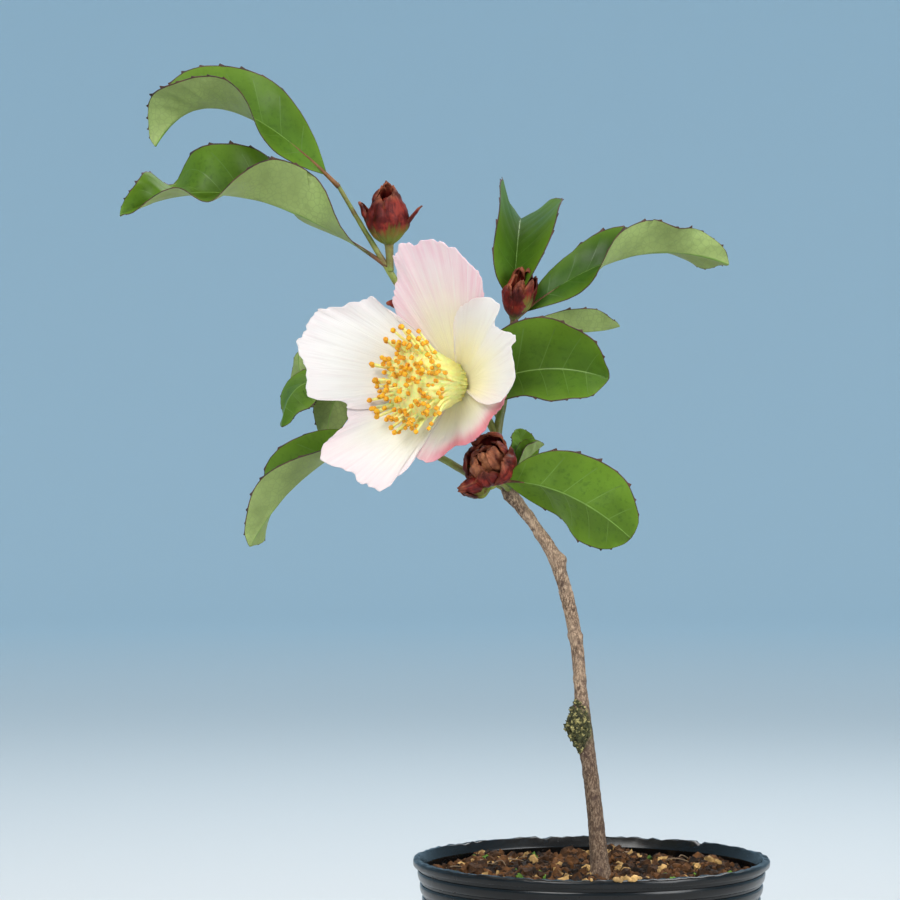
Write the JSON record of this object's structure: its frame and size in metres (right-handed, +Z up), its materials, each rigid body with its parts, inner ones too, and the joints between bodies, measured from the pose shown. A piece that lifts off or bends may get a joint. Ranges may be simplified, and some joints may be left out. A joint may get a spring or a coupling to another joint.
{
  "type": "stewartia bonsai",
  "caption": "Young stewartia bonsai in a black nursery pot: a slim leaning trunk, thin green boughs, sprays of toothed leaves with dark red buds, and an open white flower.",
  "frame": {"origin": "centre of the pot's flat underside, which stands on the ground", "axes": "+Z up along the pot's axis, -Y towards the side that the picture shows and that the flower faces, +X to the right of that view"},
  "size_m": [0.1633, 0.093, 0.2755],
  "materials": {
    "pot": "satin",
    "soil": "rough",
    "bark": "rough",
    "green_bark": "satin",
    "leaf": "satin",
    "petal": "matte"
  },
  "bodies": {
    "root": {"pot": "pot", "soil": "soil", "trunk": "bark", "bough_leader": "green_bark", "bough_upper_left": "green_bark", "bough_left": "green_bark", "foliage_upper_left": "leaf", "foliage_upper_right": "leaf", "foliage_middle": "leaf", "foliage_low_right": "leaf", "foliage_fork": "leaf", "foliage_left": "leaf", "foliage_back": "leaf", "flower": "petal"}
  },
  "joints": []
}
